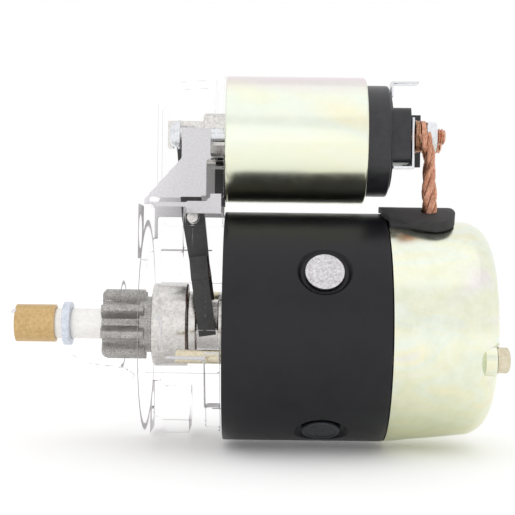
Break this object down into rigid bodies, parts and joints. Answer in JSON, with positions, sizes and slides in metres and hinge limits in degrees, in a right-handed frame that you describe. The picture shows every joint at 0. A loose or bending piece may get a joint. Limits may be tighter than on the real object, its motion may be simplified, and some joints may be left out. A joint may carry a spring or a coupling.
{
  "type": "starter motor",
  "caption": "Pre-engaged starter motor with a die-cast drive housing, side-window nose, pinion drive, painted yoke, plated end cover and a piggyback solenoid.",
  "frame": {"origin": "on the motor axis, in the front face of the mounting flange", "axes": "+X along the motor axis from the nose to the rear cover, +Z from the motor towards the solenoid"},
  "size_m": [0.1803, 0.0848, 0.1371],
  "materials": {
    "cast_aluminium": "as-cast die casting, matte, fine grain",
    "yoke_paint": "satin black paint",
    "zinc_chromate": "zinc plate with yellow chromate, satin, faint iridescence",
    "machined_steel": "turned and ground steel",
    "laminations": "dark electrical steel",
    "sintered_steel": "sintered gear steel, oiled",
    "plated_steel": "bright zinc plate",
    "copper": "bare copper",
    "varnished_winding": "enamelled copper under red-brown varnish",
    "bush_bronze": "sintered bronze",
    "phenolic": "black moulded phenolic",
    "lever_nylon": "moulded nylon",
    "rubber": "dark grey rubber",
    "brush_carbon": "copper graphite",
    "spring_steel": "spring steel"
  },
  "bodies": {
    "root": {"battery_stud": "copper", "battery_stud_nut": "plated_steel", "brush_1": "brush_carbon", "brush_2": "brush_carbon", "brush_3": "brush_carbon", "brush_4": "brush_carbon", "brush_plate": "lever_nylon", "brush_spring_1": "spring_steel", "brush_spring_2": "spring_steel", "brush_spring_3": "spring_steel", "brush_spring_4": "spring_steel", "cap_gasket": "rubber", "coil_strap": "plated_steel", "drive_housing": "cast_aluminium", "field_coil_1": "varnished_winding", "field_coil_2": "varnished_winding", "field_coil_3": "varnished_winding", "field_coil_4": "varnished_winding", "lead_grommet": "rubber", "lead_lug": "copper", "lever_pin": "machined_steel", "lever_seal": "rubber", "motor_lead": "copper", "motor_stud": "copper", "motor_stud_nut": "plated_steel", "motor_stud_washer": "copper", "nose_bush": "bush_bronze", "pole_screw_1": "plated_steel", "pole_screw_2": "plated_steel", "pole_screw_3": "plated_steel", "pole_screw_4": "plated_steel", "pole_shoe_1": "laminations", "pole_shoe_2": "laminations", "pole_shoe_3": "laminations", "pole_shoe_4": "laminations", "rear_bush": "bush_bronze", "rear_cover": "zinc_chromate", "return_spring": "spring_steel", "solenoid_case": "zinc_chromate", "solenoid_coil": "copper", "solenoid_core": "laminations", "solenoid_screw_far": "plated_steel", "solenoid_screw_near": "plated_steel", "spade_terminal": "plated_steel", "terminal_cap": "phenolic", "through_bolt_1": "plated_steel", "through_bolt_2": "plated_steel", "yoke": "yoke_paint"},
    "armature": {"armature_shaft": "machined_steel", "armature_core": "laminations", "armature_winding_front": "copper", "armature_winding_rear": "copper", "commutator": "copper", "stop_collar": "laminations"},
    "drive": {"clutch_shell": "machined_steel", "drive_sleeve": "machined_steel"},
    "pinion": {"pinion": "sintered_steel"},
    "shift_lever": {"shift_lever": "lever_nylon"},
    "plunger": {"plunger": "laminations"},
    "moving_contact": {"moving_contact": "copper"}
  },
  "joints": [
    {"name": "armature_spin", "type": "hinge", "parent": "root", "child": "armature", "pos_m": [0, 0, 0], "axis": [1, 0, 0], "continuous": true},
    {"name": "drive_slide", "type": "slide", "parent": "armature", "child": "drive", "axis": [-1, 0, 0], "range_m": [0, 0.0115]},
    {"name": "pinion_overrun", "type": "hinge", "parent": "drive", "child": "pinion", "pos_m": [0, 0, 0], "axis": [1, 0, 0], "continuous": true},
    {"name": "lever_swing", "type": "hinge", "parent": "root", "child": "shift_lever", "pos_m": [0.017, 0, 0.04], "axis": [0, 1, 0], "range_deg": [0, 16.52]},
    {"name": "plunger_slide", "type": "slide", "parent": "root", "child": "plunger", "axis": [1, 0, 0], "range_m": [0, 0.00842], "stiffness_N_per_m": 1500, "springref_m": -0.004, "deforming": ["return_spring"]},
    {"name": "contact_slide", "type": "slide", "parent": "root", "child": "moving_contact", "axis": [1, 0, 0], "range_m": [0, 0.002]}
  ],
  "couplings": [
    {"joint": "drive_slide", "follows": "plunger_slide", "ratio": 1.3655},
    {"joint": "lever_swing", "follows": "plunger_slide", "rad_per_m": 34.24},
    {"joint": "contact_slide", "follows": "plunger_slide", "ratio": 0.2375}
  ]
}
